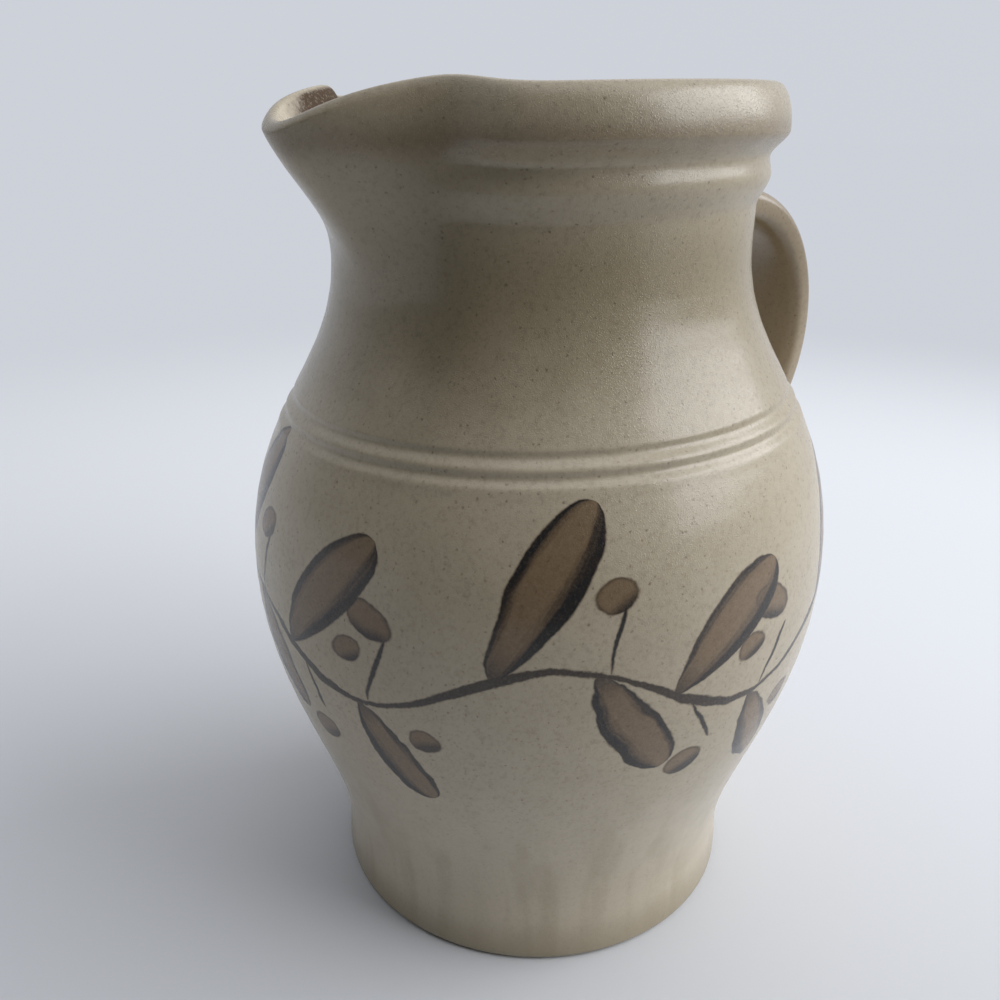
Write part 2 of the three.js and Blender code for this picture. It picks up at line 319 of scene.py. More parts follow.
@dataclass(frozen=True)
class PitcherForm:
    """Sizes of the thrown form, and the outlines that follow from them."""

    foot_height: float = 0.0112
    lower_wall_height: float = 0.072
    upper_wall_height: float = 0.067
    neck_length: float = 0.0066
    collar_height: float = 0.0093
    rim_height: float = 0.0131
    foot_radius: float = 0.048
    foot_round: float = 0.0016
    waist_radius: float = 0.0478
    belly_radius: float = 0.0645
    neck_radius: float = 0.0435
    collar_radius: float = 0.0457
    rim_radius: float = 0.0485
    waist_ease: float = 0.0216
    belly_ease_below: float = 0.030
    belly_ease_above: float = 0.035
    neck_ease: float = 0.0245
    wall: float = 0.005
    floor_thickness: float = 0.007
    floor_round: float = 0.010
    rim_width: float = 0.0075
    rim_fullness: float = 0.98
    roll_drop: float = 0.0084  # from the rim's top down to its widest line
    crease_radius: float = 0.0452
    band_drop: float = 0.0032  # from the crease down to the band's widest line
    groove_rise: float = 0.0343
    groove_spacing: float = 0.0031
    groove_half_width: float = 0.0015
    groove_depth: float = 0.0006
    ridge_height: float = 0.0002  # clay pushed up under each line
    ridge_drop: float = 0.0016
    ridge_spread: float = 0.0014
    lip_thinning: float = 0.15
    lean: float = 0.0278
    lean_drop: float = 0.024
    base_rows: int = 9
    foot_rows: int = 7
    wall_rows: int = 76
    groove_rows: int = 44
    neck_rows: int = 30
    collar_rows: int = 72
    roll_rows: int = 44
    inside_rows: int = 52
    corner_rows: int = 9
    floor_rows: int = 8

    @property
    def belly_line(self) -> float:
        """Height of the widest line."""
        return self.foot_height + self.lower_wall_height

    @property
    def neck_line(self) -> float:
        """Height where the neck runs straight."""
        return self.belly_line + self.upper_wall_height

    @property
    def collar_line(self) -> float:
        """Height of the collar's underside."""
        return self.neck_line + self.neck_length

    @property
    def crease_line(self) -> float:
        """Height of the crease under the rolled rim."""
        return self.collar_line + self.collar_height

    @property
    def rim_top(self) -> float:
        """Height of the rim, away from the lip."""
        return self.crease_line + self.rim_height

    @property
    def rim_middle_line(self) -> float:
        """Height of the rolled rim's widest line."""
        return self.rim_top - self.roll_drop

    @property
    def band_line(self) -> float:
        """Height of the widest line of the band under the crease."""
        return self.crease_line - self.band_drop

    @property
    def mouth_radius(self) -> float:
        """Inside radius at the rim."""
        return self.rim_radius - self.rim_width

    @property
    def groove_lines(self) -> Span:
        """Heights of the two incised lines."""
        lower = self.belly_line + self.groove_rise
        return lower, lower + self.groove_spacing

    @property
    def leaning(self) -> Span:
        """Heights between which the lean sets in."""
        return self.belly_line - self.lean_drop, self.groove_lines[0]

    def wall_radius(self, height: np.ndarray) -> np.ndarray:
        """Outside radius of the plain wall.

        Args:
            height: Heights above the table.

        Returns:
            Radii without lines, collar and rim.
        """
        share = np.linspace(0, 1, CURVE_STEPS)

        def curve(ends: Span, line: Span, eases: Span) -> np.ndarray:
            """Radius of a curve that is upright at both ends.

            Args:
                ends: Radii at the lower and the upper end.
                line: Heights of the ends.
                eases: How long each end stays upright.

            Returns:
                Radii at the heights asked for.
            """
            inner = 3 * share * (1 - share)
            late = share**3 + inner * share
            radius = ends[0] * (1 - late) + ends[1] * late
            rise = (line[0] * (1 - share) ** 3 + inner * (1 - share) * (line[0] + eases[0])
                    + inner * share * (line[1] - eases[1]) + line[1] * share**3)
            return np.interp(height, rise, radius)

        inwards = (self.waist_radius - self.foot_radius) * smoothstep(height, 0, self.foot_height)
        foot = self.foot_radius + inwards
        lower = curve((self.waist_radius, self.belly_radius), (self.foot_height, self.belly_line),
                      (self.waist_ease, self.belly_ease_below))
        upper = curve((self.belly_radius, self.neck_radius), (self.belly_line, self.neck_line),
                      (self.belly_ease_above, self.neck_ease))
        walls = np.where(height <= self.belly_line, lower, upper)
        return np.where(height <= self.foot_height, foot, walls)

    def outside_radius(self, height: np.ndarray) -> np.ndarray:
        """Outside radius up to the rim's widest line, with the incised lines, the band and the crease.

        Args:
            height: Heights above the table.

        Returns:
            Radii of the outside.
        """
        radius = self.wall_radius(height)
        for line in self.groove_lines:
            across = np.clip((height - line) / self.groove_half_width, -1, 1)
            radius = radius - self.groove_depth * np.cos(across * math.pi / 2) ** 2
            from_ridge = (height - line + self.ridge_drop) / self.ridge_spread
            radius = radius + self.ridge_height * np.exp(-from_ridge**2)
        wave = ((self.collar_line, self.neck_radius), (self.band_line, self.collar_radius),
                (self.crease_line, self.crease_radius), (self.rim_middle_line, self.rim_radius))
        for (low, start), (high, end) in zip(wave, wave[1:]):
            radius = radius + (end - start) * smoothstep(height, low, high)
        return radius

    def inside_radius(self, height: np.ndarray) -> np.ndarray:
        """Inside radius, opening a little from the neck to the mouth.

        Args:
            height: Heights above the table.

        Returns:
            Radii of the inside.
        """
        opening = smoothstep(height, self.neck_line, self.rim_middle_line)
        plain = self.wall_radius(height) - self.wall
        return plain + (self.mouth_radius - plain) * opening

    def pressed_radius(self, radius: np.ndarray, height: np.ndarray) -> np.ndarray:
        """Radius where the rim is pressed smooth and thin for the lip.

        Args:
            radius: Radii of the round outline.
            height: Heights of its points.

        Returns:
            Radii of the pressed outline.
        """
        pressed_away = self.lip_thinning * self.rim_width
        roll = radius - pressed_away * (radius - self.mouth_radius) / self.rim_width
        onto = smoothstep(height, self.neck_line, self.rim_middle_line)
        plain = self.wall_radius(height)
        outside = plain + (self.rim_radius - pressed_away - plain) * onto
        below = np.where(radius < self.inside_radius(height) + self.wall / 2, radius, outside)
        return np.where(height >= self.rim_middle_line, roll, below)

    def outline(self) -> tuple[np.ndarray, int]:
        """Half outline from the middle of the base over the rim to the middle of the floor.

        Returns:
            Rows of radius, pressed radius and height, and the row at the top of the rim.
        """
        base = np.linspace(0, self.foot_radius - self.foot_round, self.base_rows)[:-1]
        turn = np.linspace(0, math.pi / 2, self.foot_rows)
        foot = np.column_stack((self.foot_radius - self.foot_round * (1 - np.sin(turn)),
                                self.foot_round * (1 - np.cos(turn))))

        lower, upper = self.groove_lines
        edge = self.ridge_drop + 2 * self.ridge_spread
        heights = np.concatenate((
            np.linspace(self.foot_round, lower - edge, self.wall_rows)[1:-1],
            np.linspace(lower - edge, upper + edge, self.groove_rows),
            np.linspace(upper + edge, self.collar_line, self.neck_rows)[1:-1],
            np.linspace(self.collar_line, self.rim_middle_line, self.collar_rows),
        ))
        outside = np.column_stack((self.outside_radius(heights), heights))

        half = self.rim_width / 2
        angle = np.linspace(0, math.pi, self.roll_rows)[1:]
        roll = np.column_stack((
            self.mouth_radius + half * (1 + full_power(np.cos(angle), self.rim_fullness)),
            self.rim_middle_line + self.roll_drop * full_power(np.sin(angle), self.rim_fullness),
        ))

        bottom = self.floor_thickness + self.floor_round
        down = np.linspace(self.rim_middle_line, bottom, self.inside_rows)[1:]
        inside = np.column_stack((self.inside_radius(down), down))
        corner_turn = np.linspace(0, math.pi / 2, self.corner_rows)[1:]
        corner_middle = inside[-1, 0] - self.floor_round
        corner = np.column_stack((corner_middle + self.floor_round * np.cos(corner_turn),
                                  bottom - self.floor_round * np.sin(corner_turn)))
        floor = np.linspace(corner_middle, 0, self.floor_rows)[1:]

        rows = np.concatenate((
            np.column_stack((base, np.zeros_like(base))),
            foot,
            outside,
            roll,
            inside,
            corner,
            np.column_stack((floor, np.full_like(floor, self.floor_thickness))),
        ))
        radius, height = rows.T
        pressed = self.pressed_radius(radius, height)
        return np.column_stack((radius, pressed, height)), int(np.argmax(height))

    def leant(self, points: np.ndarray) -> np.ndarray:
        """Points moved with the lean of the rings above the belly.

        Args:
            points: Rows of x, y and z.

        Returns:
            The moved rows.
        """
        moved = points.copy()
        moved[:, 2] += self.lean * points[:, 0] * smoothstep(points[:, 2], *self.leaning)
        return moved


class GeometryTree:
    """Geometry Nodes tree with named inputs, which makes one piece."""

    def __init__(self, name: str, sizes: dict[str, float]) -> None:
        """Make the tree and its inputs.

        Args:
            name: Name of the tree.
            sizes: Named inputs with their values.
        """
        self.tree = bpy.data.node_groups.new(name, "GeometryNodeTree")
        self.nodes = Nodes(self.tree)
        interface = self.tree.interface
        for direction in ("INPUT", "OUTPUT"):
            interface.new_socket("Geometry", in_out=direction, socket_type="NodeSocketGeometry")
        self.values: dict[str, float] = {}
        for label, value in sizes.items():
            socket = interface.new_socket(label, in_out="INPUT", socket_type="NodeSocketFloat")
            self.values[socket.identifier] = value
        self.start = self.nodes.add("NodeGroupInput")

    def size(self, label: str) -> Value:
        """A named input."""
        return self.start.output(label)

    def lattice(self, rows: int, columns: int) -> tuple[Value, Value, Value]:
        """Grid of vertices.

        Args:
            rows: Number of rows.
            columns: Number of vertices in a row.

        Returns:
            The grid, and the row and column of each vertex.
        """
        counts = {"Vertices X": rows, "Vertices Y": columns}
        grid = self.nodes.add("GeometryNodeMeshGrid", None, counts)
        index = self.nodes.add("GeometryNodeInputIndex")
        row = ((index + 0.5) / columns).floor()  # the half keeps rounding off the next row
        return grid, row, index - row * columns

    def piece(
        self,
        name: str,
        surface: Value,
        place: Value,
        material: bpy.types.Material,
        start: Optional[bpy.types.Mesh] = None,
        marks: Optional[dict[str, Value]] = None,
    ) -> bpy.types.Object:
        """Move the surface into place, close it and turn it into a plain mesh.

        Args:
            name: Name of the piece.
            surface: Geometry of the lattice.
            place: Position of each vertex.
            material: Finish of the piece.
            start: Mesh that the tree reads.
            marks: Named attributes to store on the vertices.

        Returns:
            The piece, with no modifier left on it.
        """
        add = self.nodes.add
        for label, value in (marks or {}).items():
            surface = add("GeometryNodeStoreNamedAttribute", {"data_type": "FLOAT", "domain": "POINT"},
                          {"Geometry": surface, "Name": label, "Value": value})
        placed = add("GeometryNodeSetPosition", None, {"Geometry": surface, "Position": place})
        closed = add("GeometryNodeMergeByDistance", None, {"Geometry": placed, "Distance": MERGE_DISTANCE})
        real = add("GeometryNodeRealizeInstances", None, {0: closed})
        dressed = add("GeometryNodeSetMaterial", None, {"Geometry": real, "Material": material})
        add("NodeGroupOutput", None, {0: dressed})

        made = linked(name, start or bpy.data.meshes.new(name))
        modifier = made.modifiers.new(name, "NODES")
        modifier.node_group = self.tree
        for identifier, value in self.values.items():
            modifier[identifier] = value
        finished = bpy.data.meshes.new_from_object(made.evaluated_get(bpy.context.evaluated_depsgraph_get()))
        made.modifiers.remove(modifier)
        made.data = finished
        outward(finished)
        return made


def outward(mesh: bpy.types.Mesh) -> None:
    """Shade a closed mesh smooth, with its faces pointing out.

    Args:
        mesh: The mesh, which is changed.
    """
    points = np.empty(len(mesh.vertices) * 3)
    mesh.vertices.foreach_get("co", points)
    points = points.reshape(-1, 3)
    mesh.calc_loop_triangles()
    triangles = np.empty(len(mesh.loop_triangles) * 3, int)
    mesh.loop_triangles.foreach_get("vertices", triangles)
    first, second, third = (points[triangles.reshape(-1, 3)[:, corner]] for corner in range(3))
    volume = np.einsum("ij,ij->i", first, np.cross(second, third)).sum()
    if volume < 0:
        mesh.flip_normals()
    mesh.shade_smooth()


@dataclass(frozen=True)
class BrushStroke:
    """One stroke of the painted vine, in millimetres on the wall."""

    place: float  # share of the repeat where the stroke starts
    side: Side
    tilt: float  # degrees from the stem
    length: float
    half_width: float
    offset: float = 0.0  # start above or below the stem
    loaded: float = 1.0  # how much dark oxide the brush holds


@dataclass(frozen=True)
class BandPlace:
    """Place on the painted band in millimetres, as values of a material's tree."""

    nodes: Nodes
    repeat: Value  # number of the repeat
    along: Value  # from the start of the repeat
    above: Value  # over the band's middle
    fray: Value  # unevenness of the strokes' edges


@dataclass(frozen=True)
class BrushedVine:
    """Band of a trailing vine brushed in iron and cobalt oxide, with single leaves and berries."""

    repeats: int = 5
    height: float = 78.0
    sway: float = 6.5
    stem_half_width: float = 0.85
    stem_dark: float = 0.85
    pressure_change: float = 0.35  # of the brush along the stem
    pressure_phase: float = 0.6
    pressure_waves: float = 2.0  # in one repeat
    wall_radius: float = 64.5
    edge_softness: float = 0.28
    edge_fray: Pattern = Pattern(1.3)
    edge_wander: float = 0.55
    leaf_fray: float = 0.6
    berry_fray: float = 0.5
    hand_wander: Pattern = Pattern(0.11, 3.0)
    wander_along: float = 1.6
    wander_up: float = 1.2
    chance_step: float = 7.31  # from repeat to repeat
    leaf_seeds: Span = (3.7, 0.5)  # from stroke to stroke, and of the first one
    berry_seeds: Span = (5.3, 40.0)
    length_change: float = 0.07
    angle_change: float = 0.10
    berry_change: float = 0.8
    leaf_bend: float = 0.10
    root_power: float = 0.80
    tip_power: float = 0.50
    least_width: float = 0.05
    thin_half_width: float = 1.0  # thinner strokes are dark all over
    hairs: Pattern = Pattern(2.2, 3.0)
    hair_along: float = 1.2
    hair_across: float = 2.4
    hair_chance: float = 9.0
    hair_shade: float = 0.35
    loaded_edge: Rise = Rise(0.42, 1.0)
    loaded_hairs: float = 0.5
    plain_edge: Rise = Rise(0.70, 1.08, 0.95)
    plain_hairs: float = 0.4
    dark_root: Rise = Rise(0.72, 1.0, 0.75)
    berry_lean: float = 0.35
    berry_chance: float = 0.2
    berry_shade: Rise = Rise(-0.1, 0.75, 0.9)
    berry_rim: Rise = Rise(0.72, 1.0, 0.7)
    brown: Colour = (0.160, 0.096, 0.045)
    ink: Colour = (0.011, 0.0125, 0.0150)
    strokes: tuple[BrushStroke, ...] = (
        BrushStroke(0.10, Side.ABOVE, 66, 37, 6.4),
        BrushStroke(0.33, Side.BELOW, 60, 29, 5.5),
        BrushStroke(0.52, Side.ABOVE, 52, 34, 6.2, loaded=0.95),
        BrushStroke(0.76, Side.BELOW, 64, 26, 5.2),
        BrushStroke(0.36, Side.ABOVE, 78, 13, 0.55),
        BrushStroke(0.79, Side.ABOVE, 74, 15, 0.6),
        BrushStroke(0.57, Side.BELOW, 70, 12, 0.55),
    )
    berries: tuple[BrushStroke, ...] = (
        BrushStroke(0.372, Side.ABOVE, 20, 4.0, 3.1, offset=16.0),
        BrushStroke(0.805, Side.ABOVE, -25, 5.6, 3.6, offset=18.5),
        BrushStroke(0.74, Side.ABOVE, 10, 3.4, 2.7, offset=11.5),
        BrushStroke(0.59, Side.BELOW, 15, 4.4, 3.2, offset=15.5),
        BrushStroke(0.935, Side.BELOW, 0, 3.6, 2.8, offset=10.0, loaded=0.9),
    )

    @property
    def period(self) -> float:
        """Length of one repeat along the wall."""
        return FULL_TURN * self.wall_radius / self.repeats

    def stem_height(self, place: float) -> float:
        """Height of the stem over the band's middle, at a share of the repeat."""
        return self.sway * math.sin(FULL_TURN * place)

    def inked(self, margin: Value) -> Value:
        """Mask of a stroke, from the distance within its edge."""
        return margin.smooth(-self.edge_softness, self.edge_softness)

    def chance(self, band: BandPlace, number: int, seeds: Span) -> Value:
        """Number from -1 to 1 that differs from repeat to repeat and from stroke to stroke.

        Args:
            band: Place on the band.
            number: Place of the stroke in its list.
            seeds: Step from stroke to stroke, and start.

        Returns:
            The number.
        """
        place = band.repeat * self.chance_step + (seeds[0] * number + seeds[1])
        drawn = band.nodes.add("ShaderNodeTexWhiteNoise", {"noise_dimensions": "1D"}, {"W": place})
        return drawn * 2.0 - 1.0

    def paint(self, nodes: Nodes, point: Value) -> tuple[Value, Value]:
        """Cover and darkness of the oxide.

        Args:
            nodes: Writer of the material's tree.
            point: Place on the piece, in millimetres.

        Returns:
            How much oxide covers the glaze, and how dark it is.
        """
        x, y, z = nodes.separate(point)
        turns = nodes.math("ARCTAN2", y, x) * (self.repeats / FULL_TURN)
        repeat = turns.floor()
        wander = nodes.noise(point, self.hand_wander).swing(2.0)
        fray = nodes.noise(point, self.edge_fray).swing(self.edge_wander)
        along = (turns - repeat) * self.period + wander * self.wander_along
        above = z - self.height + wander * self.wander_up
        band = BandPlace(nodes, repeat, along, above, fray)

        phase = along * (FULL_TURN / self.period)
        slope = self.sway * FULL_TURN / self.period
        upright = 1.0 / math.sqrt(1.0 + slope**2 / 2)
        change = (phase * self.pressure_waves + self.pressure_phase).sine() * self.pressure_change
        pressure = (change + 1.0) * self.stem_half_width
        cover = self.inked(pressure - abs(above - phase.sine() * self.sway) * upright + fray)
        dark = cover * self.stem_dark
        drawn = [self.leaf(band, number, stroke) for number, stroke in enumerate(self.strokes)]
        drawn += [self.berry(band, number, berry) for number, berry in enumerate(self.berries)]
        for mask, shade in drawn:
            cover = cover.most(mask)
            dark = dark.most(mask * shade)
        return cover, dark

    def leaf(self, band: BandPlace, number: int, stroke: BrushStroke) -> tuple[Value, Value]:
        """One tapering stroke that starts on the stem.

        Args:
            band: Place on the band.
            number: Place of the stroke in the list, for its chances.
            stroke: Place and sizes of the stroke.

        Returns:
            Mask of the stroke, and its darkness.
        """
        drawn = self.chance(band, number, self.leaf_seeds)
        length = drawn * (self.length_change * stroke.length) + stroke.length
        angle = drawn * self.angle_change + stroke.side.value * math.radians(stroke.tilt)
        right = band.along - stroke.place * self.period
        up = band.above - self.stem_height(stroke.place)
        cosine, sine = angle.cosine(), angle.sine()
        forward = (right * cosine + up * sine) / length
        bend = forward * forward * (self.leaf_bend * stroke.length * stroke.side.value)
        sideways = up * cosine - right * sine + bend

        within = forward.kept(0.0, 1.0)
        widest = self.root_power / (self.root_power + self.tip_power)
        full = widest**self.root_power * (1 - widest) ** self.tip_power
        width = within**self.root_power * (1.0 - within) ** self.tip_power * (stroke.half_width / full)
        beyond = abs(forward - within) * length
        mask = self.inked(width - abs(sideways) - beyond + band.fray * self.leaf_fray)

        across = sideways / (width + self.least_width)
        brushed = band.nodes.combine(
            forward * self.hair_along, across * self.hair_across, drawn * self.hair_chance + number)
        hairs = band.nodes.noise(brushed, self.hairs)
        loaded_edge = (hairs * self.loaded_hairs - across).rise(self.loaded_edge)
        plain_edge = (across + hairs * self.plain_hairs).rise(self.plain_edge)
        root = (1.0 - forward).rise(self.dark_root)
        thin = 1.0 if stroke.half_width < self.thin_half_width else 0.0
        edges = loaded_edge.most(plain_edge) * stroke.loaded
        return mask, (edges.most(root).most(thin) + hairs.swing(self.hair_shade)).kept(0.0, 1.0)

    def berry(self, band: BandPlace, number: int, berry: BrushStroke) -> tuple[Value, Value]:
        """One oval dab beside the stem.

        Args:
            band: Place on the band.
            number: Place of the dab in the list, for its chances.
            berry: Place and sizes of the dab.

        Returns:
            Mask of the dab, and its darkness.
        """
        drawn = self.chance(band, number, self.berry_seeds)
        right = band.along - berry.place * self.period
        middle = self.stem_height(berry.place) + berry.side.value * berry.offset
        up = band.above - middle - drawn * self.berry_change
        tilt = math.radians(berry.tilt)
        forward = (right * math.cos(tilt) + up * math.sin(tilt)) / berry.length
        sideways = (up * math.cos(tilt) - right * math.sin(tilt)) / berry.half_width
        reach = (forward * forward + sideways * sideways).math("SQRT")
        mask = self.inked((1.0 - reach) * berry.half_width + band.fray * self.berry_fray)
        lower = (forward * self.berry_lean + drawn * self.berry_chance - sideways).rise(self.berry_shade)
        return mask, lower.most(reach.rise(self.berry_rim)) * berry.loaded


@dataclass(frozen=True)
class SpeckLayer:
    """Layer of iron specks, in millimetres."""

    cell: float  # from speck to speck
    radius: float  # of the largest speck
    share: float  # of the cells that hold one
    strength: float


@dataclass(frozen=True)
class GlazePlace:
    """Place on a glazed piece in millimetres, with the noise there, as values of a material's tree."""

    nodes: Nodes
    point: Value
    x: Value
    y: Value
    z: Value
    broad: Value  # clouds as wide as the neck
    cloud: Value  # clouds of a few millimetres
    grain: Value  # grain of the clay


@dataclass(frozen=True)
class SatinGlaze:
    """Satin stoneware glaze: tan over olive, with iron specks, fine grain and brown edges.

    Heights are millimetres above the table. What is named for the inside follows the body's attribute.
    """

    pale: Colour = (0.52, 0.448, 0.335)
    tan: Colour = (0.40, 0.338, 0.234)
    olive: Colour = (0.265, 0.215, 0.128)
    edge_brown: Colour = (0.170, 0.118, 0.066)
    # brown of the inside, partly painted shade deeper in
    inside_brown_and_shade: Colour = (0.055, 0.025, 0.004)
    # darker pooled glaze in the pressed flanks, partly painted shade
    pool_and_shade: Colour = (0.150, 0.117, 0.066)
    iron: Colour = (0.075, 0.048, 0.027)
    bare_clay: Colour = (0.40, 0.31, 0.21)

    broad_clouds: Pattern = Pattern(0.028, 3.0, 0.55)
    small_clouds: Pattern = Pattern(0.16, 4.0, 0.6)
    clay_grain: Pattern = Pattern(1.9, 3.0, 0.65)
    broad_tone: Rise = Rise(0.30, 0.70, 0.35)
    cloud_tone: float = 0.35
    grain_tone: float = 0.55
    drips: Pattern = Pattern(1.0)
    drip_squeeze: float = 0.17  # the pattern is narrow across and long upright
    drip_stretch: float = 0.012
    streaks: Rise = Rise(0.36, 0.74, 0.7)
    low_wall: Rise = Rise(22.0, 66.0)  # streaks lie under it, and most specks over it
    low_specks: float = 0.3
    pale_low: Rise = Rise(25.0, 65.0, 0.4)
    tan_belly: Rise = Rise(60.0, 80.0, 0.2)
    olive_neck: Rise = Rise(114.0, 146.0, 0.82)
    neck_wander: float = 30.0
    neck_grain: float = 0.35
    pale_rim: Rise = Rise(148.0, 162.0, 0.60)
    olive_foot: Rise = Rise(1.5, 13.0, 0.6)

    pool_shade_angle: float = math.radians(28)  # from the lip, where the rim is pressed in and the painted shade lies
    pool_shade_spread: float = math.radians(10)
    pool_shade_rise: Rise = Rise(116.0, 142.0, 0.45)
    pool_shade_wander: float = 20.0
    rim_lean: float = 0.028  # rise of the rim towards the handle
    worn_height: float = 171.0  # where the roll wears through to brown
    worn_spread: float = 2.6
    worn_wander: float = 2.5
    worn_strength: float = 0.5
    worn_inside: Rise = Rise(0.0, 0.2)
    pale_inside: Rise = Rise(0.1, 0.2)
    # painted highlight: a pale line along the rim's crest
    crest_highlight: Rise = Rise(0.004, 0.035, 0.8)
    crest_highlight_reach: Rise = Rise(-52.0, -40.0)  # the lip's own crest gets no painted highlight
    # brown stain inside, with painted shade deeper in
    stain_shade_inside: Rise = Rise(0.1, 0.24)
    stain_shade_reach: Rise = Rise(47.0, 52.5)  # from the axis
    stain_shade_wander: float = 5.0
    stain_shade_cover: float = 1.05
    stain_shade_grain: float = 1.8
    stain_shade_dryness: float = 0.55
    paint_inside: Rise = Rise(0.0, 0.1)
    paint_dark: float = 0.95
    paint_cover: float = 0.84
    dark_cover: float = 0.16
    paint_grain: float = 0.3

    speck_shift: Pattern = Pattern(1.9)
    speck_warp: float = 0.75  # millimetres that uneven edges wander
    mottling: Pattern = Pattern(0.85, 4.0, 0.75)
    mottle: Rise = Rise(0.46, 0.72, 0.24)
    fine_specks: SpeckLayer = SpeckLayer(1.25, 0.40, 0.9, 0.6)
    dots: SpeckLayer = SpeckLayer(3.3, 0.46, 0.45, 0.6)
    large_specks: SpeckLayer = SpeckLayer(12.0, 0.62, 0.3, 0.75)
    least_speck: float = 0.35  # share of the largest one's size and darkness
    speck_edge: float = 0.8
    share_edge: float = 0.02

    bare_foot: Rise = Rise(0.15, 0.6)
    roughness: float = 0.178
    grain_roughness: float = 0.22
    cloud_roughness: float = 0.08
    bare_roughness: float = 0.4
    rim_roughness: Rise = Rise(164.0, 169.0, 0.04)
    least_roughness: float = 0.05
    facets: Pattern = Pattern(3.6, 2.0, 0.6)
    facet_height: Rise = Rise(0.48, 0.78, 0.42)
    peel: Pattern = Pattern(0.8, 1.0)
    peel_height: float = 0.16
    speck_pit: float = 0.15
    grain_depth: float = 0.00006
    ior: float = 1.54

    def place(self, nodes: Nodes) -> GlazePlace:
        """Place on the piece, with the noise that several steps share.

        Args:
            nodes: Writer of the material's tree.

        Returns:
            The place.
        """
        place = nodes.add("ShaderNodeTexCoord", None, None, "Object")
        point = nodes.add("ShaderNodeVectorMath", {"operation": "SCALE"}, {0: place, "Scale": MM_PER_METRE})
        patterns = (self.broad_clouds, self.small_clouds, self.clay_grain)
        noises = (nodes.noise(point, pattern) for pattern in patterns)
        return GlazePlace(nodes, point, *nodes.separate(point), *noises)

    def ground(self, at: GlazePlace, painted_shade: float) -> Value:
        """Colour of the plain glaze, from the foot over the pale belly to the olive neck.

        Args:
            at: Place on the piece.
            painted_shade: Share of tan that is added, as painted shade.

        Returns:
            The colour.
        """
        nodes, z = at.nodes, at.z
        drawn_out = nodes.combine(at.x * self.drip_squeeze, at.y * self.drip_squeeze, z * self.drip_stretch)
        streaks = nodes.noise(drawn_out, self.drips).rise(self.streaks) * z.fall(self.low_wall)
        tone = at.broad.rise(self.broad_tone) + at.cloud * self.cloud_tone + at.grain.swing(self.grain_tone)
        tone = tone + streaks + painted_shade - z.fall(self.pale_low) + z.rise(self.tan_belly)
        colour = nodes.mix(tone.kept(0.0, 1.0), self.pale, self.tan)
        thin = (z + at.broad.swing(self.neck_wander)).rise(self.olive_neck) + at.grain.swing(self.neck_grain)
        thin = thin * (1.0 - z.rise(self.pale_rim))
        colour = nodes.mix(thin.kept(0.0, 1.0), colour, self.olive)
        return nodes.mix(z.fall(self.olive_foot), colour, self.olive)

    def rim_and_inside(self, at: GlazePlace, inside: Value, colour: Value) -> tuple[Value, Value]:
        """Pooled glaze with painted shade beside the lip, the worn rim with a painted highlight along its
        crest, and the brown inside with painted shade deeper in.

        Args:
            at: Place on the body.
            inside: The body's attribute of the inside.
            colour: Colour of the plain glaze.

        Returns:
            The new colour, and the mask of the brown stain with its painted shade.
        """
        nodes, x, y, z = at.nodes, at.x, at.y, at.z
        # Darker glaze pooled in the pressed flanks beside the lip, with painted shade there as well.
        side = abs(nodes.math("ARCTAN2", y, -x))
        pooled_shade = (side - self.pool_shade_angle).bell(self.pool_shade_spread)
        pooled_shade = pooled_shade * (z + at.broad.swing(self.pool_shade_wander)).rise(self.pool_shade_rise)
        colour = nodes.mix(pooled_shade, colour, self.pool_and_shade)

        ring = z - x * self.rim_lean - self.worn_height + at.cloud.swing(self.worn_wander)
        worn = ring.bell(self.worn_spread) * inside.fall(self.worn_inside)
        colour = nodes.mix(worn * self.worn_strength, colour, self.edge_brown)

        # Painted highlight: a pale line along the crest, just inside the rim's top.
        crest_highlight_mask = inside.rise(self.crest_highlight) * x.rise(self.crest_highlight_reach)
        colour = nodes.mix(inside.rise(self.pale_inside).most(crest_highlight_mask), colour, self.pale)
        # Brown stain inside the throat, darker deeper in: partly painted shade.
        deep = (x * x + y * y).math("SQRT") + at.cloud.swing(self.stain_shade_wander)
        stain_and_shade = inside.rise(self.stain_shade_inside) * deep.fall(self.stain_shade_reach)
        cover = stain_and_shade * (at.grain.swing(self.stain_shade_grain) + self.stain_shade_cover)
        return nodes.mix(cover.kept(0.0, 1.0), colour, self.inside_brown_and_shade), stain_and_shade

    def painted(self, at: GlazePlace, vine: BrushedVine, inside: Value, colour: Value) -> Value:
        """Colour with the painted band over it.

        Args:
            at: Place on the body.
            vine: The painted band.
            inside: The body's attribute of the inside.
            colour: Colour of the glaze.

        Returns:
            The new colour.
        """
        cover, dark = vine.paint(at.nodes, at.point)
        oxide = at.nodes.mix(dark * self.paint_dark, vine.brown, vine.ink)
        dense = dark * self.dark_cover + at.grain.swing(self.paint_grain) + self.paint_cover
        return at.nodes.mix(cover * inside.fall(self.paint_inside) * dense.kept(0.0, 1.0), colour, oxide)

    def specks(self, nodes: Nodes, point: Value, layer: SpeckLayer) -> Value:
        """Mask of one layer of specks.

        Args:
            nodes: Writer of the material's tree.
            point: Place on the piece, in millimetres.
            layer: Sizes of the layer.

        Returns:
            The mask.
        """
        sockets = {"Vector": point, "Scale": 1.0 / layer.cell}
        cells = nodes.add("ShaderNodeTexVoronoi", {"feature": "F1"}, sockets)
        drawn, *others = nodes.separate(cells.output("Color"))
        held = drawn.smooth(1.0 - layer.share - self.share_edge, 1.0 - layer.share + self.share_edge)
        size, dark = (other * (1.0 - self.least_speck) + self.least_speck for other in others)
        within = 1.0 - cells.output("Distance") / (size * (layer.radius / layer.cell))
        return within.smooth(0.0, self.speck_edge) * held * dark

